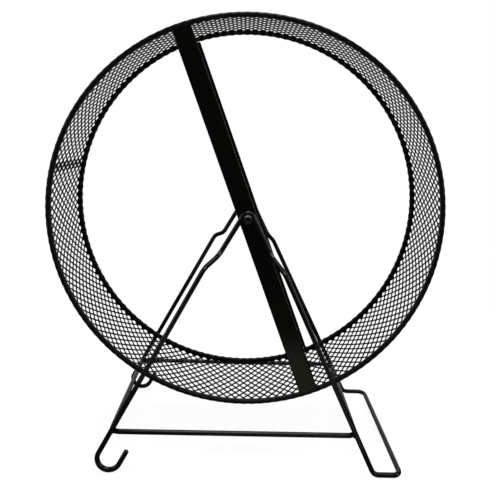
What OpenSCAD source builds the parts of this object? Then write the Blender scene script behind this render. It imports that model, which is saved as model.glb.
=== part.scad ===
// Exercise wheel for a small rodent, on a bent-wire stand.
// The drum is a strip of expanded-metal mesh with both edges folded round a wire ring.
// Two flat crossbars carry it on two short rivets, which are welded into the stand's arches.
// Millimetres. X is across the wheel, Y is along the axle and away from the viewer, Z is up.
// The origin is on the floor, below the middle of the axle.

/* [Drum] */
// Outer diameter of the drum
wheel_d = 290; // [250:1:330]
// Width of the drum from rim to rim
drum_w = 76; // [56:1:90]
// Height of the drum above the floor
ground_gap = 40; // [38:1:55]
// Turn of the crossbars from upright, as the wheel came to rest
bar_lean = 21.2; // [0:0.1:40]

/* [Mesh] */
// Thickness of the expanded sheet
mesh_t = 0.6; // [0.5:0.1:1]
// Width of one strand of the mesh
strand_w = 1.8; // [1.2:0.1:2.6]
// Diamonds in one row round the drum
mesh_columns = 50; // [40:1:56]
// Half diamonds across the drum, an odd or an even number
mesh_half_rows = 5; // [3:1:6]
// Plain strip along each edge of the net
selvedge_w = 0.6; // [0.4:0.1:1.5]

/* [Rims] */
// Diameter of the wire ring in each rim
rim_wire_d = 3; // [1.8:0.1:3.4]
// Width of the folded hem along the drum
hem_w = 4.8; // [4:0.1:8]

/* [Crossbars] */
// Width of each crossbar
bar_w = 14; // [13:0.1:18]
// Sheet thickness of the crossbars
bar_t = 1; // [0.8:0.1:1.4]
// Width of the edge that is folded back along each side
bar_fold_w = 2.2; // [1.6:0.1:3]
// Radius of the corners at the ends of the crossbars
bar_end_r = 3; // [1:0.1:4]
// Depth of the crossbar's face behind the edge of the drum
bar_inset = 0.8; // [0.2:0.1:2]

/* [Bearings] */
// Diameter of the rivet that the wheel turns on
pin_d = 4.8; // [4:0.1:5.4]
// Diameter of the hole in the open end of the rivet
pin_hole_d = 2.6; // [1.5:0.1:3]
// Depth of that hole
pin_hole_depth = 3; // [1:0.1:5]
// How far the rivet stands out of the stand's wire
pin_proud = 0.6; // [0.2:0.1:2]
// Diameter of the rivet's head inside the drum
pin_head_d = 7.6; // [6.8:0.1:8.4]
// Thickness of the rivet's head
pin_head_t = 1.4; // [1:0.1:2.5]
// Radial running clearance of the rivet in its bush
pin_fit = 0.06; // [0.02:0.01:0.1]
// Wall of the bush
bush_wall = 0.9; // [0.6:0.1:1.1]
// Diameter of the bush's flange
bush_flange_d = 8.6; // [8:0.1:10]
// Thickness of the bush's flange
bush_flange_t = 0.9; // [0.6:0.1:1.5]
// How far the bush stands out behind the crossbar's sheet
bush_lip = 0.5; // [0.2:0.1:1]
// Play between the turning wheel and what stands still beside it
run_gap = 0.3; // [0.2:0.05:0.6]
// Diameter of the spacer washer
washer_d = 8.6; // [7.5:0.1:10]
// Thickness of the spacer washer
washer_t = 1.4; // [1:0.1:3]

/* [Stand] */
// Diameter of the stand's wire
wire_d = 3.5; // [3:0.1:4.2]
// Sink of one wire into the piece it is welded to
weld_sink = 0.3; // [0.1:0.05:0.5]
// Drop from the axle to the upper end of the step in the legs
step_top_drop = 27.5; // [24:0.5:32]
// Drop from the axle to the lower end of the step in the legs
step_bottom_drop = 35.3; // [33:0.5:44]
// Distance of the upper end of the step from the axle, hook side
hook_step_top_x = 20; // [16:0.5:23]
// Distance of the lower end of the step from the axle, hook side
hook_step_bottom_x = 29.6; // [26:0.1:36]
// Distance of the upper end of the step from the axle, rail side
rail_step_top_x = 18.5; // [15:0.5:21]
// Distance of the lower end of the step from the axle, rail side
rail_step_bottom_x = 25.4; // [24:0.1:32]
// How far the step moves the legs away from the drum
step_depth = 7.5; // [7:0.5:16]
// How far the legs lean out from the step down to the floor
leg_splay = 11.4; // [0:0.1:25]
// Reach of the hook-side legs from the axle, measured at the floor
hook_reach = 107.3; // [85:0.1:130]
// Reach of the rail-side legs from the axle, measured at the floor
rail_reach = 99; // [80:0.5:115]
// Length of the toes from the legs to the rail
toe_length = 20; // [18:0.5:35]
// How far the marks of the bending tool stand out of the wire
tool_mark = 0.04; // [0.02:0.01:0.06]
// Bend radius of the step in the legs, at the middle of the wire
step_bend_r = 12; // [6:0.5:14]
// Bend radius from leg to toe, at the middle of the wire
foot_bend_r = 6; // [4:0.5:8]
// Bend radius from toe to rail, at the middle of the wire
toe_bend_r = 6; // [4:0.5:8]

/* [Cage hooks] */
// Bend radius of the hooks, at the middle of the wire
hook_r = 8.4; // [6:0.1:11]
// Length of the straight tip of the hooks
hook_tip = 11; // [4:0.5:16]

/* [Brace] */
// Height of the brace loop's wire above the floor
brace_height = 29.5; // [20:0.5:36]
// Bend radius of the brace loop's corners, at the middle of the wire
brace_corner_r = 6; // [4:0.5:9]

/* [Hidden] */

// The two sides of the wheel along Y
FRONT = -1;
REAR = 1;

ROUND_FN = 180;
SMALL_FN = 48;
WIRE_FN = 24;

// Drum
drum_r = wheel_d / 2;
axle_z = ground_gap + drum_r;
hem_d = rim_wire_d + 2 * mesh_t;
rim_r = drum_r - hem_d / 2;
rim_y = drum_w / 2 - hem_d / 2;
net_w = drum_w - 2 * hem_w;
column_arc = PI * wheel_d / mesh_columns;
half_row = (net_w - 2 * selvedge_w) / mesh_half_rows;
// Distance from the middle of a diamond to its side, and the share of it that stays open
diamond_inner_r = column_arc / 2 * half_row / norm([column_arc / 2, half_row]);
open_share = 1 - strand_w / 2 / diamond_inner_r;

// Distances along the axle, from the middle of the drum outward
bar_face_y = drum_w / 2 - bar_inset;
bar_inner_y = bar_face_y - bar_t;
bush_face_y = bar_face_y + bush_flange_t;
bush_inner_y = bar_inner_y - bush_lip;
head_face_y = bush_inner_y - run_gap;
washer_inner_y = bush_face_y + run_gap;
washer_face_y = washer_inner_y + washer_t;
arch_y = washer_face_y + wire_d / 2;
pin_end_y = arch_y + wire_d / 2 + pin_proud;
bush_bore_d = pin_d + 2 * pin_fit;
bush_d = bush_bore_d + 2 * bush_wall;

// Corners of the stand's wire, before they are bent round
wire_r = wire_d / 2;
// Height of the wire's middle where it lies on the floor
floor_wire_z = wire_r + tool_mark;
step_y = arch_y + step_depth;
foot_y = step_y + leg_splay;
arch_r = (pin_d + wire_d) / 2 - weld_sink;
hook_step_top = [-hook_step_top_x, -step_top_drop];
rail_step_top = [rail_step_top_x, -step_top_drop];
// Directions, seen from the axle, in which the two upper legs touch the arch's circle
hook_touch = atan2(hook_step_top[1], hook_step_top[0]) + 360 - acos(arch_r / norm(hook_step_top));
rail_touch = atan2(rail_step_top[1], rail_step_top[0]) + acos(arch_r / norm(rail_step_top));
arch_turn = (hook_touch + rail_touch) / 2;
arch_peak = arch_r / cos((hook_touch - rail_touch) / 2);
toe_x = rail_reach + toe_length;
toe_joint_x = toe_x - toe_length / 2;

function unit(v) = v / norm(v);
function lower_step(x, side) = [x, side * step_y, axle_z - step_bottom_drop];
function foot(x, side) = [x, side * foot_y, floor_wire_z];
// Point of a leg at a height above the floor
function leg_at(x_top, x_foot, side, z) =
    let (share = (z - floor_wire_z) / (axle_z - step_bottom_drop - floor_wire_z))
    foot(x_foot, side) + share * (lower_step(x_top, side) - foot(x_foot, side));

// The brace loop lies inside the legs, its corners against them
hook_brace_x = leg_at(-hook_step_bottom_x, -hook_reach, REAR, brace_height)[0];
rail_brace_x = leg_at(rail_step_bottom_x, rail_reach, REAR, brace_height)[0];
leg_brace_y = leg_at(rail_step_bottom_x, rail_reach, REAR, brace_height)[1];
corner_reach = brace_corner_r + wire_d - weld_sink;
brace_y = leg_brace_y + brace_corner_r
    - sqrt(corner_reach * corner_reach - brace_corner_r * brace_corner_r);

// Points of the net. u counts columns round the drum, v counts half rows across it.
function net_point(r, u, v) =
    let (a = 360 * u / mesh_columns)
    [r * cos(a), -net_w / 2 + selvedge_w + v * half_row, r * sin(a)];
function row_shift(j) = (j % 2) / 2;
// The corners of the open diamond i of row j: left, bottom, right, top
function diamond(r, j, i) =
    let (u = i + row_shift(j), h = open_share / 2)
    [net_point(r, u - h, j), net_point(r, u, j - open_share),
     net_point(r, u + h, j), net_point(r, u, j + open_share)];
function edge_pair(r, j, i, v) =
    let (u = i + row_shift(j), h = open_share / 2)
    [net_point(r, u - h, v), net_point(r, u + h, v)];

LEFT = 0;
BOTTOM = 1;
RIGHT = 2;
TOP = 3;
last_row = mesh_half_rows;
edge_v = selvedge_w / half_row;
diamond_points = 4 * mesh_columns * (mesh_half_rows + 1);
skin_points = diamond_points + 4 * mesh_columns;

function wrap(i) = (i + mesh_columns) % mesh_columns;
// Number of a diamond's corner, on the outer skin (0) or the inner skin (1)
function corner(skin, j, i, c) = skin * skin_points + 4 * (j * mesh_columns + wrap(i)) + c;
// Number of a point on the net's edge: 0 before the first row or 1 after the last
function rim_corner(skin, edge, i, c) =
    skin * skin_points + diamond_points + 2 * (edge * mesh_columns + wrap(i)) + c;
// Diamond of the next row that lies half a column to the right, or to the left
function right_of(j, i) = i + j % 2;
function left_of(j, i) = i - 1 + j % 2;
function split(q) = [[q[0], q[1], q[2]], [q[0], q[2], q[3]]];
function flip(f) = [for (k = [len(f) - 1:-1:0]) f[k]];
function on_skin(skin, q) = skin == 0 ? split(q) : split(flip(q));
// Wall of an opening or of an edge, from the outer skin to the inner one
function wall(p, q) = split([p, q, q + skin_points, p + skin_points]);

module net() {
    rows = [0:last_row];
    columns = [0:mesh_columns - 1];
    points = [
        for (r = [drum_r, drum_r - mesh_t])
            each concat(
                [for (j = rows, i = columns) each diamond(r, j, i)],
                [for (i = columns) each edge_pair(r, 0, i, -edge_v)],
                [for (i = columns) each edge_pair(r, last_row, i, last_row + edge_v)]
            )
    ];
    strands = [
        for (s = [0, 1], j = [0:last_row - 1], i = columns)
            each concat(
                on_skin(s, [corner(s, j, i, RIGHT), corner(s, j + 1, right_of(j, i), BOTTOM),
                            corner(s, j + 1, right_of(j, i), LEFT), corner(s, j, i, TOP)]),
                on_skin(s, [corner(s, j, i, TOP), corner(s, j + 1, left_of(j, i), RIGHT),
                            corner(s, j + 1, left_of(j, i), BOTTOM), corner(s, j, i, LEFT)])
            )
    ];
    crossings = [
        for (s = [0, 1], j = [1:last_row - 1], i = columns)
            each on_skin(s, [corner(s, j, i, RIGHT), corner(s, j - 1, right_of(j, i), TOP),
                             corner(s, j, i + 1, LEFT), corner(s, j + 1, right_of(j, i), BOTTOM)])
    ];
    first_crossings = [
        for (s = [0, 1], i = columns)
            let (t = [corner(s, 0, i, RIGHT), corner(s, 0, i + 1, LEFT),
                      corner(s, 1, right_of(0, i), BOTTOM)])
            s == 0 ? t : flip(t)
    ];
    last_crossings = [
        for (s = [0, 1], i = columns)
            let (t = [corner(s, last_row, i, RIGHT),
                      corner(s, last_row - 1, right_of(last_row, i), TOP),
                      corner(s, last_row, i + 1, LEFT)])
            s == 0 ? t : flip(t)
    ];
    selvedges = [
        for (s = [0, 1], i = columns)
            each concat(
                on_skin(s, [rim_corner(s, 0, i, 0), rim_corner(s, 0, i, 1),
                            corner(s, 0, i, RIGHT), corner(s, 0, i, LEFT)]),
                on_skin(s, [rim_corner(s, 0, i, 1), rim_corner(s, 0, i + 1, 0),
                            corner(s, 0, i + 1, LEFT), corner(s, 0, i, RIGHT)]),
                on_skin(s, [corner(s, last_row, i, LEFT), corner(s, last_row, i, RIGHT),
                            rim_corner(s, 1, i, 1), rim_corner(s, 1, i, 0)]),
                on_skin(s, [corner(s, last_row, i, RIGHT), corner(s, last_row, i + 1, LEFT),
                            rim_corner(s, 1, i + 1, 0), rim_corner(s, 1, i, 1)])
            )
    ];
    openings = [
        for (j = rows, i = columns)
            let (around = j == 0 ? [LEFT, RIGHT, TOP]
                        : j == last_row ? [LEFT, BOTTOM, RIGHT]
                        : [LEFT, BOTTOM, RIGHT, TOP])
            for (k = [0:len(around) - 1])
                each wall(corner(0, j, i, around[k]), corner(0, j, i, around[(k + 1) % len(around)]))
    ];
    ends = [
        for (i = columns)
            each concat(
                wall(rim_corner(0, 0, i, 1), rim_corner(0, 0, i, 0)),
                wall(rim_corner(0, 0, i + 1, 0), rim_corner(0, 0, i, 1)),
                wall(rim_corner(0, 1, i, 0), rim_corner(0, 1, i, 1)),
                wall(rim_corner(0, 1, i, 1), rim_corner(0, 1, i + 1, 0))
            )
    ];
    polyhedron(
        points = points,
        faces = concat(strands, crossings, first_crossings, last_crossings, selvedges, openings, ends)
    );
}

// Places a child that is drawn round Z so that it lies round the axle, at its rest turn
module on_axle() {
    translate([0, 0, axle_z])
        rotate([0, -bar_lean, 0])
            children();
}

// A ring round the axle from a section drawn as [radius, distance along the axle]
module axle_ring(side) {
    mirror([0, side < 0 ? 1 : 0, 0])
        rotate([-90, 0, 0])
            rotate_extrude($fn = ROUND_FN)
                children();
}

// A round bar along the axle between two distances from the middle of the drum
module axle_bar(side, d, y0, y1) {
    mirror([0, side < 0 ? 1 : 0, 0])
        translate([0, y0, 0])
            rotate([-90, 0, 0])
                cylinder(d = d, h = y1 - y0, $fn = SMALL_FN);
}

module hem_section() {
    translate([rim_r, rim_y])
        circle(d = hem_d, $fn = WIRE_FN);
    translate([drum_r - 2 * mesh_t, drum_w / 2 - hem_w])
        square([2 * mesh_t, hem_w - hem_d / 2]);
}

module mesh_band() {
    color("#17171a")
        on_axle()
            net();
}

module hem(side) {
    color("#1d1d20")
        on_axle()
            axle_ring(side)
                difference() {
                    hem_section();
                    translate([rim_r, rim_y])
                        circle(d = rim_wire_d, $fn = WIRE_FN);
                }
}

module rim_wire(side) {
    color("#3a3a3c")
        on_axle()
            axle_ring(side)
                translate([rim_r, rim_y])
                    circle(d = rim_wire_d, $fn = WIRE_FN);
}

// Section of a crossbar, its face at 0 and its folded edges behind
module bar_section() {
    edge_x = bar_w / 2 - bar_t;
    translate([-edge_x, 0])
        square([2 * edge_x, bar_t]);
    for (s = [-1, 1]) {
        translate([s * edge_x, bar_t])
            circle(r = bar_t, $fn = WIRE_FN);
        translate([s * (edge_x + bar_w / 2 - bar_fold_w) / 2, bar_t])
            square([bar_fold_w - bar_t, 2 * bar_t], center = true);
    }
}

// Outline of a crossbar, seen along the axle
module bar_outline() {
    straight = 2 * (rim_r - bar_end_r);
    square([bar_w, straight], center = true);
    square([bar_w - 2 * bar_end_r, straight + 2 * bar_end_r], center = true);
    for (x = [-1, 1], z = [-1, 1])
        translate([x * (bar_w / 2 - bar_end_r), z * straight / 2])
            circle(r = bar_end_r, $fn = SMALL_FN);
}

module crossbar(side) {
    color("#0c0c0e")
        on_axle()
            difference() {
                intersection() {
                    mirror([0, side < 0 ? 0 : 1, 0])
                        translate([0, -bar_face_y, -drum_r])
                            linear_extrude(height = wheel_d)
                                bar_section();
                    rotate([90, 0, 0])
                        linear_extrude(height = wheel_d, center = true)
                            bar_outline();
                }
                axle_ring(side)
                    translate([rim_r, rim_y])
                        circle(d = hem_d, $fn = WIRE_FN);
                axle_bar(side, bush_d, 0, drum_w);
            }
}

module bearing_bush(side) {
    color("#26262a")
        on_axle()
            difference() {
                union() {
                    axle_bar(side, bush_flange_d, bar_face_y, bush_face_y);
                    axle_bar(side, bush_d, bush_inner_y, bush_face_y);
                }
                axle_bar(side, bush_bore_d, 0, drum_w);
            }
}

module axle_rivet(side) {
    head_round = pin_head_d / 2 + pin_head_t;
    color("#3c3c40")
        translate([0, 0, axle_z])
            difference() {
                union() {
                    axle_bar(side, pin_d, head_face_y, pin_end_y);
                    intersection() {
                        axle_bar(side, pin_head_d, head_face_y - pin_head_t, head_face_y);
                        translate([0, side * (head_face_y - pin_head_t + head_round), 0])
                            sphere(r = head_round, $fn = SMALL_FN);
                    }
                }
                axle_bar(side, pin_hole_d, pin_end_y - pin_hole_depth, pin_end_y + wire_d);
            }
}

module spacer_washer(side) {
    color("#303034")
        translate([0, 0, axle_z])
            difference() {
                axle_bar(side, washer_d, washer_inner_y, washer_face_y);
                axle_bar(side, pin_d, 0, pin_end_y);
            }
}

// Straight wire from a to b
module wire_run(a, b) {
    along = b - a;
    length = norm(along);
    translate(a)
        rotate([0, acos(along[2] / length), atan2(along[1], along[0])])
            cylinder(d = wire_d, h = length, $fn = WIRE_FN);
}

function heading(corners, k) = unit(corners[k + 1] - corners[k]);
function turn_at(corners, k) = acos(heading(corners, k - 1) * heading(corners, k));
// Length that the bend at corner k takes from the straight on each side of it
function setback(corners, radii, k) =
    k > 0 && k < len(corners) - 1 ? radii[k] * tan(turn_at(corners, k) / 2) : 0;

// The bend at corner k, with the mark of the bending tool at both its ends
module wire_bend(corners, radii, k, mark) {
    into = heading(corners, k - 1);
    out = heading(corners, k);
    axis = unit(cross(into, out));
    outside = cross(into, axis);
    start = corners[k] - into * setback(corners, radii, k);
    middle = start - outside * radii[k];
    multmatrix([for (i = [0:2]) [outside[i], into[i], axis[i], middle[i]]])
        rotate_extrude(angle = turn_at(corners, k), $fn = SMALL_FN)
            translate([radii[k], 0])
                circle(d = wire_d, $fn = WIRE_FN);
    if (mark > 0)
        for (end = [start, corners[k] + out * setback(corners, radii, k)])
            translate(end)
                sphere(r = wire_r + mark, $fn = WIRE_FN);
}

// A wire through a list of corners, each bent to its own radius
module bent_wire(corners, radii, mark) {
    last = len(corners) - 1;
    for (k = [0:last - 1]) {
        along = heading(corners, k);
        a = corners[k] + along * setback(corners, radii, k);
        b = corners[k + 1] - along * setback(corners, radii, k + 1);
        if (norm(b - a) > 2 * tool_mark)
            wire_run(k > 0 ? a + along * mark : a, k < last - 1 ? b - along * mark : b);
        if (k > 0)
            wire_bend(corners, radii, k, mark);
    }
}

module leg_wire(side) {
    step_bottom = lower_step(-hook_step_bottom_x, side);
    down = unit(foot(-hook_reach, side) - step_bottom);
    // Across the hook's mouth, towards the middle of the stand
    across = unit([1, 0, 0] - down * down[0]);
    lowest = norm([down[2], across[2]]);
    hook_corner_z = floor_wire_z + hook_r * (lowest + down[2] - across[2]);
    hook_corner = step_bottom + down * (hook_corner_z - step_bottom[2]) / down[2];
    tip_corner = hook_corner + across * 2 * hook_r;
    color("#1a1a1c")
        difference() {
            bent_wire(
                [
                    tip_corner - down * (hook_r + hook_tip),
                    tip_corner,
                    hook_corner,
                    step_bottom,
                    [hook_step_top[0], side * arch_y, axle_z + hook_step_top[1]],
                    [arch_peak * cos(arch_turn), side * arch_y, axle_z + arch_peak * sin(arch_turn)],
                    [rail_step_top[0], side * arch_y, axle_z + rail_step_top[1]],
                    lower_step(rail_step_bottom_x, side),
                    foot(rail_reach, side),
                    [toe_joint_x, side * foot_y, floor_wire_z]
                ],
                [0, hook_r, hook_r, step_bend_r, step_bend_r, arch_r,
                 step_bend_r, step_bend_r, foot_bend_r, 0],
                tool_mark
            );
            translate([0, 0, axle_z])
                axle_bar(side, pin_d, 0, pin_end_y);
        }
}

module floor_rail() {
    color("#1a1a1c")
        bent_wire(
            [for (side = [FRONT, REAR], x = side == FRONT ? [toe_joint_x, toe_x] : [toe_x, toe_joint_x])
                [x, side * foot_y, floor_wire_z]],
            [0, toe_bend_r, toe_bend_r, 0],
            0
        );
}

module brace_loop() {
    middle_x = (hook_brace_x + rail_brace_x) / 2;
    color("#1a1a1c")
        difference() {
            bent_wire(
                [
                    [middle_x, -brace_y, brace_height],
                    [rail_brace_x, -brace_y, brace_height],
                    [rail_brace_x, brace_y, brace_height],
                    [hook_brace_x, brace_y, brace_height],
                    [hook_brace_x, -brace_y, brace_height],
                    [middle_x, -brace_y, brace_height]
                ],
                [0, brace_corner_r, brace_corner_r, brace_corner_r, brace_corner_r, 0],
                0
            );
            for (side = [FRONT, REAR]) {
                wire_run(foot(-hook_reach, side), lower_step(-hook_step_bottom_x, side));
                wire_run(foot(rail_reach, side), lower_step(rail_step_bottom_x, side));
            }
        }
}

mesh_band();
hem(FRONT);  // front_hem
hem(REAR);  // rear_hem
rim_wire(FRONT);  // front_rim_wire
rim_wire(REAR);  // rear_rim_wire
crossbar(FRONT);  // front_crossbar
crossbar(REAR);  // rear_crossbar
bearing_bush(FRONT);  // front_bearing_bush
bearing_bush(REAR);  // rear_bearing_bush
leg_wire(FRONT);  // front_leg_wire
leg_wire(REAR);  // rear_leg_wire
floor_rail();
brace_loop();
axle_rivet(FRONT);  // front_axle_rivet
axle_rivet(REAR);  // rear_axle_rivet
spacer_washer(FRONT);  // front_spacer_washer
spacer_washer(REAR);  // rear_spacer_washer
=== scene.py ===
import math

import bpy
import numpy as np
from mathutils import Matrix, Vector, noise


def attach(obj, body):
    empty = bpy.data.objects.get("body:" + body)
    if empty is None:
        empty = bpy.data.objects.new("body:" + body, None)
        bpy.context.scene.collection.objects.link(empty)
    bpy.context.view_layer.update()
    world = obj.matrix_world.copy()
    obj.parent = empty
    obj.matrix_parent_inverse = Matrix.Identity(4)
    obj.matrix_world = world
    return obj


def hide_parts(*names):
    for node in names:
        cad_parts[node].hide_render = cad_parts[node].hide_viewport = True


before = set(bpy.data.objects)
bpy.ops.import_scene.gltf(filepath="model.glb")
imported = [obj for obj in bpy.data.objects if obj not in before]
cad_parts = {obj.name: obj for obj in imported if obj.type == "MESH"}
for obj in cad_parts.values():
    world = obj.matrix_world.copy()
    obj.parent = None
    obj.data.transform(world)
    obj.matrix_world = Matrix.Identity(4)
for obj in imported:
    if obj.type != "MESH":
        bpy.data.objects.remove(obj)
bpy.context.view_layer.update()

# The mesh strip. One strip of expanded steel, slit and stretched into small diamonds and
# bent to a drum, with its ends lapped and spot welded. It is dipped in black paint once
# its edges are folded into hems, and it bulges out a little between them.

MM = 0.001
axle_z = 185 * MM
drum_r = 145 * MM
drum_half_w = 38 * MM
mesh_t = 0.6 * MM              # the sheet that the strip is slit from
strand_w = 1.42 * MM
strand_t = 0.95 * MM           # stretching tilts the strands, so they are thicker than the sheet
opening_t = 0.3                # half a strand's thickness at the opening, as a share of strand_t
louvre = 0.04 * MM             # how far a diamond's two short-way corners stand in and out
bulge = 1.1                    # the openings are rounder than true diamonds
diamond = ((-0.5, 0), (0, -1), (0.5, 0), (0, 1))  # its corners, in columns along and half rows across
side_points = 3                # points along each side of a diamond
columns = 142                  # diamonds along the strip, with those of the lap
lap_columns = 1.05             # how far the ends lie over each other
lap_clear = 0.6                # diamonds between the end of the step in and the lap
lap_step = 1.05                # how far the strip's end steps in, in thicknesses of the sheet
pitch = 2 * math.pi / (columns - lap_columns)
seam_angle = math.radians(168.8)
half_row = 4.25 * MM           # half the length of a diamond, across the drum
half_rows = 15                 # half rows from the first row of diamonds to the last
hidden_edge = 35 * MM          # where the strip ends inside the hem
barrel = 0.7 * MM              # how far the strip bulges out between its hems
front_draw = 0.2 * MM          # how much smaller the front rim's radius came out
rim_waves = ((1, 0.5 * MM, 85), (2, 0.6 * MM, -33), (3, 0.39 * MM, 142))  # crests, height, phase in degrees
same_u, same_s, same_lift = 840, 400, 200  # nearer than 1/840 column, 1/400 and 1/200 mm, points are one


def linear(hex_colour):
    """An sRGB hex colour as the linear RGBA that a shader socket takes."""
    parts = [int(hex_colour[i:i + 2], 16) / 255 for i in (1, 3, 5)]
    return [c / 12.92 if c <= 0.04045 else ((c + 0.055) / 1.055) ** 2.4 for c in parts] + [1.0]


def add(tree, kind, inputs=None, **settings):
    """Adds a node, sets its properties, and sets or links its inputs."""
    node = tree.nodes.new(kind)
    for name, value in settings.items():
        setattr(node, name, value)
    for name, value in (inputs or {}).items():
        if isinstance(value, bpy.types.NodeSocket):
            tree.links.new(value, node.inputs[name])
        else:
            node.inputs[name].default_value = value
    return node


def empty_material(name):
    """A material with no nodes yet, and its node tree."""
    mat = bpy.data.materials.new(name)
    mat.use_nodes = True
    mat.node_tree.nodes.clear()
    return mat, mat.node_tree


def new_object(name, verts, faces, material, smooth=True):
    """An object made of points and faces, in one material."""
    mesh = bpy.data.meshes.new(name)
    mesh.from_pydata([tuple(v) for v in verts], [], faces)
    mesh.validate()
    mesh.update()
    mesh.polygons.foreach_set("use_smooth", [smooth] * len(mesh.polygons))
    obj = bpy.data.objects.new(name, mesh)
    bpy.context.scene.collection.objects.link(obj)
    obj.data.materials.append(material)
    return obj


def dipped_paint_on_mesh():
    """Black dipping paint on expanded steel. It looks nearly black, satin on the strands'
    rounded edges, with dusty specks where it has pulled thin."""
    mat, tree = empty_material("dipped_paint_on_mesh")
    place = add(tree, "ShaderNodeTexCoord").outputs["Object"]
    # The coat ran into clouds of about 9 mm. Its specks are some 0.2 mm across, and are
    # drawn at 1.1 mm, because finer ones don't show.
    cloud = add(tree, "ShaderNodeTexNoise", {"Vector": place, "Scale": 1000 / 9, "Detail": 3.0})
    specks = add(tree, "ShaderNodeTexNoise", {
        "Vector": place, "Scale": 1000 / 1.1, "Detail": 4.0, "Roughness": 0.6})
    thin = add(tree, "ShaderNodeMapRange", {
        "Value": specks.outputs["Fac"], "From Min": 0.58, "From Max": 0.78})
    base = add(tree, "ShaderNodeMix", {
        "Factor": cloud.outputs["Fac"], "A": linear("#040405"), "B": linear("#0a0a0b")}, data_type="RGBA")
    worn = add(tree, "ShaderNodeMix", {
        "Factor": thin.outputs["Result"], "A": base.outputs["Result"], "B": linear("#1b1b1d")},
        data_type="RGBA")
    rough = add(tree, "ShaderNodeMapRange", {
        "Value": specks.outputs["Fac"], "To Min": 0.26, "To Max": 0.4})
    peel = add(tree, "ShaderNodeBump", {
        "Height": specks.outputs["Fac"], "Strength": 0.25, "Distance": 0.15 * MM})
    skin = add(tree, "ShaderNodeBsdfPrincipled", {
        "Base Color": worn.outputs["Result"], "Roughness": rough.outputs["Result"],
        "Normal": peel.outputs["Normal"], "Specular IOR Level": 0.07})
    add(tree, "ShaderNodeOutputMaterial", {"Surface": skin.outputs["BSDF"]})
    return mat


mesh_paint = dipped_paint_on_mesh()


def hand_bent(angle):
    """How far the front rim strays outward from a true circle, at an angle round the axle.
    A wave's crests lie where its number of crests times the angle is its phase."""
    waves = sum(height * np.cos(crests * angle - math.radians(phase)) for crests, height, phase in rim_waves)
    return waves - front_draw


def strip_points(u, s, lift):
    """Places points of the flat strip on the drum: column u, distance s across, and lift off
    the middle of its thickness. The end of the strip steps in under its beginning, and the
    front rim's bends fade towards the rear."""
    step_start = columns - 2 * lap_columns - lap_clear
    lap = np.clip((u - step_start) / lap_columns, 0, 1)
    r = drum_r - strand_t / 2 + lift - lap * mesh_t * lap_step + barrel * (1 - (s / hidden_edge) ** 2)
    angle = seam_angle - u * pitch
    r = r + hand_bent(angle) * ((1 - s / hidden_edge) / 2) ** 2
    return np.stack([r * np.cos(angle), s, axle_z + r * np.sin(angle)], axis=1)


def mesh_strip():
    """Each diamond is a frame of four strands. A strand is full along its middle line, which
    it shares with the next diamond, and thins towards the opening. The strip's cut edges and
    ends come to a line."""
    half_column = pitch * drum_r / 2
    inscribed = half_column * half_row / math.hypot(half_column, half_row)
    share = 1 - strand_w / 2 / inscribed
    points, faces, seen = [], [], {}

    def point(u, s, lift):
        s = max(-hidden_edge, min(hidden_edge, s))
        key = (round(u * same_u), round(s / MM * same_s), round(lift / MM * same_lift))
        if key not in seen:
            seen[key] = len(points)
            points.append((u, s, lift))
        return seen[key]

    for j in range(half_rows + 1):
        across = (j - half_rows / 2) * half_row
        for i in range(columns):
            along = i + (j % 2) / 2
            rings = [[], [], [], []]
            for k in range(4):
                a, b = diamond[k], diamond[(k + 1) % 4]
                for m in range(side_points):
                    t = m / side_points
                    du, ds = a[0] + (b[0] - a[0]) * t, a[1] + (b[1] - a[1]) * t
                    u, s = along + du, across + ds * half_row
                    folded = (j == 0 and ds < 0) or (j == half_rows and ds > 0)
                    if folded:
                        u = along + du * side_points / (side_points - 1)
                        s = math.copysign(hidden_edge, across)
                    half_t = strand_t / 2 if 0 < u < columns - 0.5 and not folded else 0
                    open_out = share * (1 + (bulge - 1) * math.sin(math.pi * t))
                    opening = (along + du * open_out, across + ds * open_out * half_row)
                    twist = louvre * du * 2
                    rings[0].append(point(u, s, half_t))
                    rings[1].append(point(*opening, strand_t * opening_t + twist))
                    rings[2].append(point(*opening, -strand_t * opening_t + twist))
                    rings[3].append(point(u, s, -half_t))
            for p, q in zip(rings, rings[1:]):
                for m in range(len(p)):
                    after = (m + 1) % len(p)
                    face = [p[m], p[after], q[after], q[m]]
                    face = [v for n, v in enumerate(face) if v != face[n - 1]]
                    if len(set(face)) > 2:
                        faces.append(face)
    return new_object("expanded_mesh_strip", strip_points(*np.array(points).T), faces, mesh_paint)


strip = mesh_strip()
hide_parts("mesh_band")
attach(strip, "wheel")

# The hems. Each edge of the strip is rolled in round a rim wire, till the cut edge comes
# back near the strip. The paint bridges the small openings of the doubled mesh there, so
# the hems are closed bands with the strands standing a little proud of the paint.

rim_wire_r = 1.4 * MM
hem_w = 3.2 * MM
flange_faces = 4               # across the hem's flat part
roll_from, roll_to = 90, -205  # degrees round the wire: 90 is the drum's outside, 0 is its end
roll_points = 34
strand_relief = {-1: 0.12 * MM, 1: 0.3 * MM}  # how far the paint lies below the strands, front and rear
crown, fillet = 0.3, 0.5       # a strand's half top and the slope beside it, in strand widths
ragged = 0.3 * MM              # how far the cut strands stand out into the mesh and back
ragged_power = 5               # how fast that dies away from the edge
columns_split = 8              # faces along each diamond
inner_share = 0.45             # the inner face lies this part of mesh_t inside the middle line
inner_step = 3                 # it has one point for so many of the outer face


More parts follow.
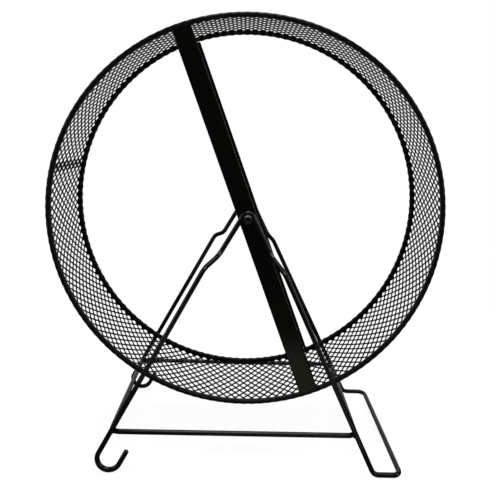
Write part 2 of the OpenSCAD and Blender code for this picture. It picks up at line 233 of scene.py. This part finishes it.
def hem_section():
    """Middle line of the folded edge, from the drum's side round the wire to the cut edge: its
    radius, its place along the axle, and its length, with the way its outer side looks."""
    wire = np.array([drum_r - mesh_t - rim_wire_r, drum_half_w - mesh_t - rim_wire_r])
    wrap_r = rim_wire_r + mesh_t / 2
    mouth = drum_half_w - hem_w
    line = [(drum_r - mesh_t / 2, y) for y in np.linspace(mouth, wire[1], flange_faces + 1)[:-1]]
    for turn in np.radians(np.linspace(roll_from, roll_to, roll_points)):
        line.append(tuple(wire + wrap_r * np.array([math.sin(turn), math.cos(turn)])))
    line = np.array(line)
    length = np.concatenate([[0], np.cumsum(np.linalg.norm(np.diff(line, axis=0), axis=1))])
    heading = np.gradient(line, length, axis=0)
    heading /= np.linalg.norm(heading, axis=1)[:, None]
    return line, length, np.stack([heading[:, 1], -heading[:, 0]], axis=1)


def strand_height(u, across):
    """0 on a strand and -1 in the middle of an opening, from the lattice of the strip."""
    half_column = pitch * drum_r / 2
    spacing = 2 * half_column * half_row / math.hypot(half_column, half_row)
    off = np.minimum(abs((u + across / 2) % 1 - 0.5), abs((u - across / 2) % 1 - 0.5)) * spacing
    fall = np.clip((off - strand_w * crown) / (strand_w * fillet), 0, 1)
    return -fall * fall * (3 - 2 * fall)


def ring_faces(around, m, flipped):
    """Faces of a closed section of m points that is carried all the way round."""
    faces = []
    for i in range(around):
        after = (i + 1) % around
        for k in range(m):
            a, b = i * m + k, i * m + (k + 1) % m
            c, d = after * m + (k + 1) % m, after * m + k
            faces.append((d, c, b, a) if flipped else (a, b, c, d))
    return faces


def hem(name, side):
    line, length, facing = hem_section()
    around = round((columns - lap_columns) * columns_split)
    outer_count = len(line)
    under_points = list(range(outer_count - 1, -1, -inner_step))
    near_edge = abs(np.linspace(-1, 1, outer_count)) ** ragged_power
    half_strip = half_rows / 2
    verts = []
    for i in range(around):
        u = 2 * math.pi * i / around / pitch
        across = half_strip + side * (drum_half_w - hem_w + length) / half_row
        knuckle = side * math.cos(2 * math.pi * u)
        rise = mesh_t / 2 + strand_relief[side] * strand_height(u, across)
        outer = line + facing * rise[:, None]
        outer[:, 1] -= near_edge * knuckle * ragged
        under = (line - facing * mesh_t * inner_share)[under_points]
        angle = seam_angle - u * pitch
        stray = hand_bent(angle) if side < 0 else 0
        for r, y in np.concatenate([outer, under]):
            verts.append(((r + stray) * math.cos(angle), side * y, axle_z + (r + stray) * math.sin(angle)))
    faces = ring_faces(around, outer_count + len(under_points), side > 0)
    obj = new_object(name + "_fold", verts, faces, mesh_paint)
    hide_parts(name)
    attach(obj, "wheel")


hem("front_hem", -1)
hem("rear_hem", 1)

# The rim wires. A ring of hard-drawn steel wire lies inside each hem and keeps
# the drum round. It is bent by hand, butt welded, and painted with the mesh.

rim_parts = 240                # faces round the ring
rim_sides = 12                 # faces round the wire


def rim_ring(name, side):
    middle_r = drum_r - mesh_t - rim_wire_r
    middle_y = drum_half_w - mesh_t - rim_wire_r
    verts = []
    for i in range(rim_parts):
        angle = 2 * math.pi * i / rim_parts
        stray = hand_bent(angle) if side < 0 else 0
        for k in range(rim_sides):
            turn = 2 * math.pi * k / rim_sides
            r = middle_r + stray + rim_wire_r * math.cos(turn)
            y = side * (middle_y + rim_wire_r * math.sin(turn))
            verts.append((r * math.cos(angle), y, axle_z + r * math.sin(angle)))
    ring = new_object(name + "_ring", verts, ring_faces(rim_parts, rim_sides, side < 0), mesh_paint)
    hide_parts(name)
    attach(ring, "wheel")


rim_ring("front_rim_wire", -1)
rim_ring("rear_rim_wire", 1)

# The crossbars. Strips of sheet steel with both long edges folded back, spot
# welded to the rims and enamelled black. They hold the bushes.


def stoved_enamel():
    """Black enamel stoved on smooth sheet: nearly glossy, very dark, faintly brown where light
    reaches it, with a slow waviness from the rolling and a little dust."""
    mat, tree = empty_material("stoved_enamel")
    place = add(tree, "ShaderNodeTexCoord").outputs["Object"]
    # The sheet's waves are about 35 mm long. The dust is some 0.1 mm, drawn at 0.9 mm.
    cloud = add(tree, "ShaderNodeTexNoise", {"Vector": place, "Scale": 1000 / 35, "Detail": 2.0})
    dust = add(tree, "ShaderNodeTexNoise", {
        "Vector": place, "Scale": 1000 / 0.9, "Detail": 3.0, "Roughness": 0.7})
    settled = add(tree, "ShaderNodeMapRange", {
        "Value": dust.outputs["Fac"], "From Min": 0.62, "From Max": 0.8, "To Max": 0.35})
    base = add(tree, "ShaderNodeMix", {
        "Factor": cloud.outputs["Fac"], "A": linear("#030303"), "B": linear("#070706")}, data_type="RGBA")
    dusty = add(tree, "ShaderNodeMix", {
        "Factor": settled.outputs["Result"], "A": base.outputs["Result"], "B": linear("#161613")},
        data_type="RGBA")
    rough = add(tree, "ShaderNodeMapRange", {
        "Value": cloud.outputs["Fac"], "To Min": 0.15, "To Max": 0.22})
    waves = add(tree, "ShaderNodeBump", {
        "Height": cloud.outputs["Fac"], "Strength": 0.3, "Distance": 0.4 * MM})
    skin = add(tree, "ShaderNodeBsdfPrincipled", {
        "Base Color": dusty.outputs["Result"], "Roughness": rough.outputs["Result"],
        "Normal": waves.outputs["Normal"], "Specular IOR Level": 0.11,
        "Specular Tint": linear("#fbffcf")})
    add(tree, "ShaderNodeOutputMaterial", {"Surface": skin.outputs["BSDF"]})
    return mat


def refinish(names, material):
    """Gives solids of the frame a new material in place of their own."""
    for name in names:
        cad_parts[name].data.materials.clear()
        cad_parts[name].data.materials.append(material)


refinish(("front_crossbar", "rear_crossbar"), stoved_enamel())

# The bushes. Flanged bearings of moulded acetal, pressed into the crossbars'
# middle holes, so that the steel rivets don't squeak.


def moulded_acetal():
    """Black acetal: dull, a shade greyer than the paint, with the fine grain of the mould."""
    mat, tree = empty_material("moulded_acetal")
    place = add(tree, "ShaderNodeTexCoord").outputs["Object"]
    # The mould's grain is some 0.1 mm, drawn at 0.4 mm.
    grain = add(tree, "ShaderNodeTexNoise", {"Vector": place, "Scale": 1000 / 0.4, "Detail": 2.0})
    shade = add(tree, "ShaderNodeMix", {
        "Factor": grain.outputs["Fac"], "A": linear("#1c1c1e"), "B": linear("#2a2a2c")}, data_type="RGBA")
    bump = add(tree, "ShaderNodeBump", {
        "Height": grain.outputs["Fac"], "Strength": 0.2, "Distance": 0.05 * MM})
    skin = add(tree, "ShaderNodeBsdfPrincipled", {
        "Base Color": shade.outputs["Result"], "Roughness": 0.55,
        "Normal": bump.outputs["Normal"], "Specular IOR Level": 0.3})
    add(tree, "ShaderNodeOutputMaterial", {"Surface": skin.outputs["BSDF"]})
    return mat


refinish(("front_bearing_bush", "rear_bearing_bush"), moulded_acetal())

# The axle rivets and their washers. Semi-tubular steel rivets go out through the
# bushes, carry a turned spacer washer, and are welded into the arches with the
# hollow end outward. Places along the axle are counted from the drum's middle.

turned_parts = 64              # faces round each piece
head_r = 3.8 * MM
head_t = 1.4 * MM
head_face = 35.4 * MM
head_edge = 0.2 * MM
dome_from, dome_to = 0.02, 0.97  # shares of the head's radius that the dome covers
dome_points = 8
pin_r = 2.4 * MM
pin_end = 43.9 * MM
flare_r = 2.85 * MM            # the tube is rolled outward at its end
lip_r = 0.62 * MM
lip_from, lip_turn = -50, 230  # degrees round the lip, from the pin into the hole
lip_faces = 16
hole_r = flare_r - 2 * lip_r
hole_floor = pin_end - 3.0 * MM
floor_edge = 0.4 * MM          # the drill left a slanted edge and a shallow cone
floor_share = 0.7
cone_depth = 0.2 * MM
cone_tip = 0.02 * MM
washer_r = 4.3 * MM
washer_in = 38.4 * MM
washer_out = 39.8 * MM
washer_edge = 0.35 * MM


def painted_turned_steel(name, dark, light):
    """Turned steel under thin black paint; the washers' paint is set a little lighter than the rivets' as
    painted light, standing for their lit lower edges.
    It looks satin. Its sharp edges on the upper half, above the hole, carry a painted highlight: a dull grey
    base colour standing for where light from above catches them."""
    mat, tree = empty_material(name)
    place = add(tree, "ShaderNodeTexCoord").outputs["Object"]
    # The paint's thickness changes over about 1.5 mm.
    rub = add(tree, "ShaderNodeTexNoise", {"Vector": place, "Scale": 1000 / 1.5, "Detail": 4.0})
    edge = add(tree, "ShaderNodeNewGeometry").outputs["Pointiness"]
    proud = add(tree, "ShaderNodeMapRange", {"Value": edge, "From Min": 0.5, "From Max": 0.56})
    height = add(tree, "ShaderNodeSeparateXYZ", {"Vector": place})
    # Painted highlight: sharp edges on the upper half only get a light grey base colour, because light from
    # above catches them there.
    lit_upper_half = add(tree, "ShaderNodeMapRange", {
        "Value": height.outputs["Z"], "From Min": axle_z + 0.8 * MM, "From Max": axle_z + 2.2 * MM})
    painted_lip_highlight = add(tree, "ShaderNodeMath", {
        0: proud.outputs["Result"], 1: lit_upper_half.outputs["Result"]}, operation="MULTIPLY")
    paint = add(tree, "ShaderNodeMix", {
        "Factor": rub.outputs["Fac"], "A": linear(dark), "B": linear(light)}, data_type="RGBA")
    shade = add(tree, "ShaderNodeMix", {
        "Factor": painted_lip_highlight.outputs["Value"], "A": paint.outputs["Result"], "B": linear("#8c8c8a")},
        data_type="RGBA")
    rough = add(tree, "ShaderNodeMapRange", {"Value": rub.outputs["Fac"], "To Min": 0.18, "To Max": 0.3})
    skin = add(tree, "ShaderNodeBsdfPrincipled", {
        "Base Color": shade.outputs["Result"], "Roughness": rough.outputs["Result"],
        "Specular IOR Level": 0.22})
    add(tree, "ShaderNodeOutputMaterial", {"Surface": skin.outputs["BSDF"]})
    return mat


rivet_paint = painted_turned_steel("painted_rivet_steel", "#0a0a0b", "#101011")
# Painted light: the washers' colours are lighter than the rivets' to stand for their lit lower edges.
washer_paint_with_painted_light = painted_turned_steel("painted_washer_steel", "#161617", "#202021")


def turned_piece(name, section, side, material):
    """A piece turned round the axle from a closed section of (radius, distance along the axle)."""
    verts = []
    for i in range(turned_parts):
        a = 2 * math.pi * i / turned_parts
        verts += [(r * math.cos(a), side * y, axle_z + r * math.sin(a)) for r, y in section]
    return new_object(name, verts, ring_faces(turned_parts, len(section), side < 0), material)


def rounded(centre, radius, start, turn, steps=6):
    """Points of a rounded edge: its centre, radius, first direction and turn in degrees."""
    angles = [math.radians(start + turn * i / steps) for i in range(steps + 1)]
    return [(centre[0] + radius * math.cos(a), centre[1] + radius * math.sin(a)) for a in angles]


def rivet_section():
    """From the domed head, which faces inward, out along the pin, round the lip and into the hole."""
    dome_r = head_r ** 2 / (2 * head_t) + head_t / 2
    section = []
    for t in np.linspace(dome_from, dome_to, dome_points):
        section.append((head_r * t, head_face - head_t + dome_r - math.sqrt(dome_r ** 2 - (head_r * t) ** 2)))
    section += rounded((head_r - head_edge, head_face - head_edge), head_edge, 0, 90)
    section += [(pin_r, head_face), (pin_r, pin_end - 2 * lip_r)]
    section += rounded((flare_r - lip_r, pin_end - lip_r), lip_r, lip_from, lip_turn, lip_faces)
    section += [(hole_r, hole_floor + floor_edge), (hole_r * floor_share, hole_floor)]
    return section + [(cone_tip, hole_floor - cone_depth)]


def washer_section():
    middle_r = washer_r - washer_edge
    section = [(pin_r, washer_in)] + rounded((middle_r, washer_in + washer_edge), washer_edge, -90, 90)
    return section + rounded((middle_r, washer_out - washer_edge), washer_edge, 0, 90) + [(pin_r, washer_out)]


for side, name in ((-1, "front"), (1, "rear")):
    rivet = turned_piece(name + "_rivet_turned", rivet_section(), side, rivet_paint)
    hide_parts(name + "_axle_rivet")
    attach(rivet, "stand")
    washer = turned_piece(name + "_washer_turned", washer_section(), side, washer_paint_with_painted_light)
    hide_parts(name + "_spacer_washer")
    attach(washer, "stand")

# The stand wire. One length of 3.5 mm steel wire, bent cold from hook to hook:
# up the front legs and over the axle, along the floor as the rail, and back over
# the rear arch. It is powder coated black with everything welded to it.

wire_r = 1.75 * MM
coat_t = 0.1 * MM
wire_sides = 20
wire_end = ((0.0, 0.72), (0.1, 0.92), (0.35, 1.0))  # a cut end: how far in, in wire radii, and its size
bend_degrees = 6               # of a bend, for each ring of faces
bend_steps = 4                 # the fewest rings in a bend
floor_z = 1.79 * MM
arch_y = 41.55 * MM
arch_r = 4.0 * MM
top_x = {"hook": -20 * MM, "rail": 18.5 * MM}       # where the step out begins, on each leg
step_top_z = 157.5 * MM
step_x = {"hook": -29.6 * MM, "rail": 25.4 * MM}    # where it would end in an evenly bent stand
step_y = 49.05 * MM
step_bottom_z = 149.7 * MM
foot_x = {"hook": -107.3 * MM, "rail": 99 * MM}
foot_y = 60.45 * MM
toe_x = 119 * MM
toe_r = 6 * MM
hook_r = 8.4 * MM
hook_tip = 11 * MM

# The wire was bent by hand over pegs, so the steps of front and rear aren't quite alike.
bent_step = {-1: {"hook": (-29.6 * MM, 149.7 * MM), "rail": (28.2 * MM, 146.9 * MM)},
             1: {"hook": (-27.9 * MM, 152.9 * MM), "rail": (24.8 * MM, 149.7 * MM)}}
peg_r = {-1: 12 * MM, 1: 7 * MM}

# The marks of the pegs on the front wire, which also stand as a painted highlight for the glint at each bend:
# their places in mm, and how they are drawn out into streaks.
peg_bruise_and_glint_places = ((-19.3, -43, 159.2), (-28.4, -50.5, 151.4), (18.6, -43, 159), (27.2, -50.5, 149.3))
leg_slope = (0.5, 0.86)        # across and up
mark_stretch = 0.6             # share of a distance along the wire that doesn't count
mark_core, mark_end = 0.2 * MM, 1.1 * MM


def peg_bruises_and_glints(tree, place, coat):
    """Where the bending pegs pressed, the coat is bruised to a grey streak along the wire. The same light
    grey also paints in the highlight that each bend catches.
    """
    for at in peg_bruise_and_glint_places:
        off = add(tree, "ShaderNodeVectorMath", {0: place, 1: Vector(at) * MM}, operation="SUBTRACT")
        along = Vector((-math.copysign(leg_slope[0], at[0]), 0, leg_slope[1])).normalized()
        far = add(tree, "ShaderNodeVectorMath", {
            0: off.outputs["Vector"], 1: along}, operation="DOT_PRODUCT")
        drawn = add(tree, "ShaderNodeVectorMath", {
            0: along * mark_stretch, "Scale": far.outputs["Value"]}, operation="SCALE")
        off = add(tree, "ShaderNodeVectorMath", {
            0: off.outputs["Vector"], 1: drawn.outputs["Vector"]}, operation="SUBTRACT")
        near = add(tree, "ShaderNodeVectorMath", {0: off.outputs["Vector"]}, operation="LENGTH")
        bruise_and_glint = add(tree, "ShaderNodeMapRange", {
            "Value": near.outputs["Value"], "From Min": mark_core, "From Max": mark_end,
            "To Min": 0.55, "To Max": 0.0})
        coat = add(tree, "ShaderNodeMix", {
            "Factor": bruise_and_glint.outputs["Result"], "A": coat.outputs["Result"], "B": linear("#77777a")},
            data_type="RGBA")
    return coat


def powder_coat_on_wire():
    """Black powder coat on drawn wire: satin with a fine orange peel, and a touch grey in
    specks where the wire has rubbed on others in the box."""
    mat, tree = empty_material("powder_coat_on_wire")
    place = add(tree, "ShaderNodeTexCoord").outputs["Object"]
    # The coat's shade changes over about 14 mm. Its orange peel is some 0.4 mm, drawn at 1.2 mm.
    cloud = add(tree, "ShaderNodeTexNoise", {"Vector": place, "Scale": 1000 / 14, "Detail": 3.0})
    peel = add(tree, "ShaderNodeTexNoise", {"Vector": place, "Scale": 1000 / 1.2, "Detail": 2.0})
    base = add(tree, "ShaderNodeMix", {
        "Factor": cloud.outputs["Fac"], "A": linear("#040404"), "B": linear("#090909")}, data_type="RGBA")
    rub = add(tree, "ShaderNodeMapRange", {
        "Value": peel.outputs["Fac"], "From Min": 0.64, "From Max": 0.8, "To Max": 0.4})
    shade = add(tree, "ShaderNodeMix", {
        "Factor": rub.outputs["Result"], "A": base.outputs["Result"], "B": linear("#1e1e1f")},
        data_type="RGBA")
    # Grey streaks at the front bends: partly bruised coat, partly a painted highlight.
    shade = peg_bruises_and_glints(tree, place, shade)
    rough = add(tree, "ShaderNodeMapRange", {
        "Value": cloud.outputs["Fac"], "To Min": 0.15, "To Max": 0.25})
    bump = add(tree, "ShaderNodeBump", {
        "Height": peel.outputs["Fac"], "Strength": 0.1, "Distance": 0.1 * MM})
    skin = add(tree, "ShaderNodeBsdfPrincipled", {
        "Base Color": shade.outputs["Result"], "Roughness": rough.outputs["Result"],
        "Normal": bump.outputs["Normal"], "Specular IOR Level": 0.18})
    add(tree, "ShaderNodeOutputMaterial", {"Surface": skin.outputs["BSDF"]})
    return mat


wire_coat = powder_coat_on_wire()


def bent_path(corners, radii, closed=False):
    """The middle line of a wire bent at each corner to its radius."""
    n = len(corners)
    path = []
    for k in range(n):
        if not closed and k in (0, n - 1):
            path.append(corners[k])
            continue
        into = (corners[k] - corners[k - 1]).normalized()
        out = (corners[(k + 1) % n] - corners[k]).normalized()
        turn = into.angle(out)
        axis = into.cross(out).normalized()
        start = corners[k] - into * radii[k] * math.tan(turn / 2)
        middle = start + axis.cross(into) * radii[k]
        steps = max(bend_steps, round(math.degrees(turn) / bend_degrees))
        for i in range(steps + 1):
            path.append(middle + Matrix.Rotation(turn * i / steps, 3, axis) @ (start - middle))
    return path


def wire_tube(name, path, closed, material):
    """A round wire along a path, its cut ends a little rounded by the coating."""
    rings = [(p, 1.0) for p in path]
    if not closed:
        ends = []
        for tip, inner in ((path[0], path[1]), (path[-1], path[-2])):
            inward = (inner - tip).normalized()
            ends.append([(tip + inward * wire_r * far, size) for far, size in wire_end])
        rings = ends[0] + rings[1:-1] + ends[1][::-1]
    n = len(rings)
    verts, faces = [], []
    up = None
    for k, (p, size) in enumerate(rings):
        before = rings[k - 1][0] if closed or k else p
        after = rings[(k + 1) % n][0] if closed or k < n - 1 else p
        along = (after - before).normalized()
        if up is None:
            up = along.orthogonal().normalized()
        up = (up - along * up.dot(along)).normalized()
        across = along.cross(up)
        for i in range(wire_sides):
            a = 2 * math.pi * i / wire_sides
            verts.append(p + (up * math.cos(a) + across * math.sin(a)) * (wire_r + coat_t) * size)
    for k in range(n if closed else n - 1):
        first, last = k * wire_sides, ((k + 1) % n) * wire_sides
        shift = 0
        if closed and k == n - 1:
            shift = min(range(wire_sides), key=lambda s: (verts[first] - verts[last + s]).length)
        for i in range(wire_sides):
            beside = i + 1
            faces.append((first + i, first + beside % wire_sides,
                          last + (beside + shift) % wire_sides, last + (i + shift) % wire_sides))
    if not closed:
        faces.append(tuple(range(wire_sides))[::-1])
        faces.append(tuple((n - 1) * wire_sides + i for i in range(wire_sides)))
    return new_object(name, verts, faces, material)


def arch_corner(side):
    """Where the two upper legs would meet if they weren't bent over the rivet."""
    drop = axle_z - step_top_z
    touch = []
    for x, turn in ((top_x["hook"], -1), (top_x["rail"], 1)):
        far = math.hypot(x, drop)
        to_step = math.atan2(-drop, x) + (2 * math.pi if turn < 0 else 0)
        touch.append(to_step + turn * math.acos(arch_r / far))
    middle = sum(touch) / 2
    peak = arch_r / math.cos((touch[0] - touch[1]) / 2)
    return Vector((peak * math.cos(middle), side * arch_y, axle_z + peak * math.sin(middle)))


def half_stand(side):
    """Corners and bend radii of one side, from the hook's tip to the toe."""
    step_hook, step_rail = (
        Vector((x, side * step_y, z)) for x, z in (bent_step[side]["hook"], bent_step[side]["rail"]))
    foot_hook = Vector((foot_x["hook"], side * foot_y, floor_z))
    down = (foot_hook - step_hook).normalized()
    across = (Vector((1, 0, 0)) - down * down.x).normalized()
    lowest = math.hypot(down.z, across.z)
    corner_z = floor_z + hook_r * (lowest + down.z - across.z)
    corner = step_hook + down * (corner_z - step_hook.z) / down.z
    tip = corner + across * 2 * hook_r
    corners = [
        tip - down * (hook_r + hook_tip), tip, corner, step_hook,
        Vector((top_x["hook"], side * arch_y, step_top_z)),
        arch_corner(side),
        Vector((top_x["rail"], side * arch_y, step_top_z)),
        step_rail,
        Vector((foot_x["rail"], side * foot_y, floor_z)),
        Vector((toe_x, side * foot_y, floor_z)),
    ]
    peg = peg_r[side]
    return corners, [0, hook_r, hook_r, peg, peg, arch_r, peg, peg, toe_r, toe_r]


front_corners, front_radii = half_stand(-1)
rear_corners, rear_radii = half_stand(1)
stand_path = bent_path(front_corners + rear_corners[::-1], front_radii + rear_radii[::-1])
stand = wire_tube("bent_stand_wire", stand_path, False, wire_coat)
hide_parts("front_leg_wire", "rear_leg_wire", "floor_rail")
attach(stand, "stand")

# The brace. A closed rectangle of the same wire, low down inside the four legs,
# resistance welded to each of them. It keeps the legs from spreading.

brace_z = {"hook": 29.4 * MM, "rail": 30.2 * MM}  # it sits a little higher on the rail side
brace_corner_r = 6 * MM
weld_sink = 0.3 * MM           # how far the welding pressed brace and leg into each other
bead_r = 1.5 * MM
bead_half_l = 2.6 * MM
bead_in = 0.1 * MM             # how far inside the leg's surface a bead's middle lies
bead_blunt = 0.02              # keeps its two ends from coming to a point
bead_rings, bead_sides = 9, 14
bead_lumps = 0.25              # height of its lumps, as a share of their distance from its middle
bead_lump_scale = 700          # for lumps of 1.4 mm


def leg_at(leg):
    """Where the leg on the hook's or the rail's side passes the brace."""
    share = (brace_z[leg] - floor_z) / (step_bottom_z - floor_z)
    return foot_x[leg] + share * (step_x[leg] - foot_x[leg]), foot_y + share * (step_y - foot_y)


brace_left = leg_at("hook")[0]
brace_right, leg_y = leg_at("rail")
reach = brace_corner_r + 2 * wire_r - weld_sink
brace_y = leg_y + brace_corner_r - math.sqrt(reach ** 2 - brace_corner_r ** 2)
brace_corners = [Vector((x, y, brace_z[leg])) for x, y, leg in (
    (brace_left, -brace_y, "hook"), (brace_right, -brace_y, "rail"),
    (brace_right, brace_y, "rail"), (brace_left, brace_y, "hook"))]
brace = wire_tube("welded_brace_wire", bent_path(brace_corners, [brace_corner_r] * 4, True), True, wire_coat)
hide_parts("brace_loop")
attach(brace, "stand")


def weld_bead(name, at, along, material):
    """A small squeezed-out fillet of metal where two wires were pressed together and welded."""
    up = along.orthogonal().normalized()
    across = along.cross(up)
    verts, faces = [], []
    for k in range(bead_rings):
        t = -1 + 2 * k / (bead_rings - 1)
        size = bead_r * math.sqrt(max(bead_blunt, 1 - t * t))
        for i in range(bead_sides):
            a = 2 * math.pi * i / bead_sides
            p = at + along * t * bead_half_l + (up * math.cos(a) + across * math.sin(a)) * size
            p += (p - at) * bead_lumps * noise.noise(p * bead_lump_scale)
            verts.append(p)
    for k in range(bead_rings - 1):
        for i in range(bead_sides):
            a, b = k * bead_sides + i, k * bead_sides + (i + 1) % bead_sides
            faces.append((a, b, b + bead_sides, a + bead_sides))
    faces.append(tuple(range(bead_sides))[::-1])
    faces.append(tuple((bead_rings - 1) * bead_sides + i for i in range(bead_sides)))
    return new_object(name, verts, faces, material)


for side, end in ((-1, "front"), (1, "rear")):
    for word in ("hook", "rail"):
        x, y = leg_at(word)
        leg = Vector((x, side * y, brace_z[word]))
        turn_x = x - math.copysign(brace_corner_r, x)
        toward = (Vector((turn_x, side * (brace_y - brace_corner_r), brace_z[word])) - leg).normalized()
        down_leg = Vector((foot_x[word] - step_x[word], side * (foot_y - step_y), floor_z - step_bottom_z))
        bead = weld_bead(end + "_" + word + "_weld", leg + toward * (wire_r - bead_in),
                         down_leg.normalized(), wire_coat)
        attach(bead, "stand")

# The table, the light and the camera. A plain white sweep under soft lamps. A black
# card that only reflections see stands round the object, and lies on the table under
# it, as black ware is photographed. It is open behind, and has a window in front.


def seen_directly(tree):
    """1 where the camera, a reflection or glass looks, and 0 for the rays that carry light."""
    ray = add(tree, "ShaderNodeLightPath").outputs
    seen = add(tree, "ShaderNodeMath", {
        0: ray["Is Camera Ray"], 1: ray["Is Glossy Ray"]}, operation="MAXIMUM")
    seen = add(tree, "ShaderNodeMath", {
        0: seen.outputs["Value"], 1: ray["Is Transmission Ray"]}, operation="MAXIMUM")
    return seen.outputs["Value"]


def white_table():
    """Matt white board. It is seen as pure white 0.6 m from the object, and near it 15% of its
    real shade is left, which keeps the soft shadow."""
    mat, tree = empty_material("white_table")
    seen = seen_directly(tree)
    away = add(tree, "ShaderNodeVectorMath", {
        0: add(tree, "ShaderNodeTexCoord").outputs["Object"]}, operation="LENGTH")
    white = add(tree, "ShaderNodeMapRange", {
        "Value": away.outputs["Value"], "From Min": 0.15, "From Max": 0.6, "To Min": 0.85})
    share = add(tree, "ShaderNodeMath", {0: seen, 1: white.outputs["Result"]}, operation="MULTIPLY")
    board = add(tree, "ShaderNodeBsdfDiffuse", {"Color": linear("#f4f4f4")})
    glow = add(tree, "ShaderNodeEmission", {"Color": linear("#ffffff"), "Strength": 1.0})
    both = add(tree, "ShaderNodeMixShader", {
        0: share.outputs["Value"], 1: board.outputs["BSDF"], 2: glow.outputs["Emission"]})
    add(tree, "ShaderNodeOutputMaterial", {"Surface": both.outputs["Shader"]})
    return mat


half = 4.0                     # half the table's width, in metres
table_corners = [(-half, -half, 0), (half, -half, 0), (half, half, 0), (-half, half, 0)]
table = new_object("table", table_corners, [(0, 1, 2, 3)], white_table(), smooth=False)

# The room lights the object with half of its white, and is seen as pure white.
world = bpy.data.worlds.new("white_room")
bpy.context.scene.world = world
world.use_nodes = True
room = world.node_tree
room.nodes.clear()
seen = seen_directly(room)
light = add(room, "ShaderNodeBackground", {"Color": linear("#ffffff"), "Strength": 0.5})
backdrop = add(room, "ShaderNodeBackground", {"Color": linear("#ffffff"), "Strength": 1.0})
both = add(room, "ShaderNodeMixShader", {
    0: seen, 1: light.outputs["Background"], 2: backdrop.outputs["Background"]})
add(room, "ShaderNodeOutputWorld", {"Surface": both.outputs["Shader"]})

# Black flocked card, which gives the reflections only darkness.
card_mat, card_tree = empty_material("black_card")
card_skin = add(card_tree, "ShaderNodeBsdfDiffuse", {"Color": linear("#050505")})
add(card_tree, "ShaderNodeOutputMaterial", {"Surface": card_skin.outputs["BSDF"]})

card_parts = 48                # faces round the card
card_r = 1.7                   # all in metres
card_top = 2.2
card_rings = (                 # radius and height, from under the object out, up and in again
    (0.001, 0.0004), (0.12, 0.0008), (0.25, 0.001), (card_r, 0.004), (card_r, card_top), (0.001, card_top))
window_ring = 1                # the window lies in the floor of the card, from 0.12 to 0.25 m out
window = (255, 315)            # degrees round the object, where 270 is the front
opening = (45, 135)            # behind, in all that lies further out


def black_card(name, verts, faces):
    """A flag that only reflections see."""
    card = new_object(name, verts, faces, card_mat, smooth=False)
    card.visible_camera = False
    card.visible_diffuse = False
    card.visible_transmission = False
    card.visible_shadow = False


card_turns = [2 * math.pi * i / card_parts for i in range(card_parts)]
card_points = [(r * math.cos(a), r * math.sin(a), z) for r, z in card_rings for a in card_turns]
card_faces = []
for ring in range(len(card_rings) - 1):
    for i in range(card_parts):
        facing = (i + 0.5) * 360 / card_parts
        behind = ring > window_ring and opening[0] < facing < opening[1]
        in_window = ring == window_ring and window[0] < facing < window[1]
        if behind or in_window:
            continue
        k, after = ring * card_parts, (i + 1) % card_parts
        card_faces.append((k + i, k + after, k + card_parts + after, k + card_parts + i))
black_card("black_surround", card_points, card_faces)


lamp_aim = Vector((0, 0, 0.18))  # about the wheel's middle


def soft_lamp(name, at, size, power):
    """A soft box: its place and size in metres, and its power in watts."""
    data = bpy.data.lights.new(name, "AREA")
    data.shape = "RECTANGLE"
    data.size, data.size_y = size
    data.energy = power
    lamp = bpy.data.objects.new(name, data)
    bpy.context.scene.collection.objects.link(lamp)
    lamp.location = at
    lamp.rotation_euler = (lamp_aim - Vector(at)).to_track_quat("-Z", "Y").to_euler()


soft_lamp("front_box", (0.1, -0.75, 1.05), (0.9, 0.5), 4)
soft_lamp("top_box", (0.0, 0.0, 1.25), (0.7, 0.6), 16)
soft_lamp("right_strip", (0.9, -0.35, 0.5), (0.15, 0.8), 4)
soft_lamp("left_strip", (-0.9, -0.35, 0.5), (0.15, 0.8), 4)

# The camera that was fitted to the photograph's rims, crossbars and wire. Its picture is
# square, and the lens's axis lies off its middle.

photo_px = 490
focal_px = 516.83
axis_px = (260.07, 193.99)     # from the left and from the top
sensor_mm = 36
camera_at = (-3.86 * MM, -406.61 * MM, 250.46 * MM)
camera_turn, camera_dip, camera_roll = -1.86, 7.35, 2.37  # degrees

camera_data = bpy.data.cameras.new("camera")
camera_data.sensor_width = sensor_mm
camera_data.lens = focal_px * sensor_mm / photo_px
camera_data.shift_x = (photo_px / 2 - axis_px[0]) / photo_px
camera_data.shift_y = (axis_px[1] - photo_px / 2) / photo_px
camera_data.clip_start = 0.01
camera = bpy.data.objects.new("camera", camera_data)
bpy.context.scene.collection.objects.link(camera)
camera.matrix_world = (
    Matrix.Translation(camera_at)
    @ Matrix.Rotation(math.radians(camera_turn), 4, "Z")
    @ Matrix.Rotation(math.radians(90 - camera_dip), 4, "X")
    @ Matrix.Rotation(math.radians(camera_roll), 4, "Z"))
bpy.context.scene.camera = camera
bpy.context.scene.view_settings.view_transform = "Standard"
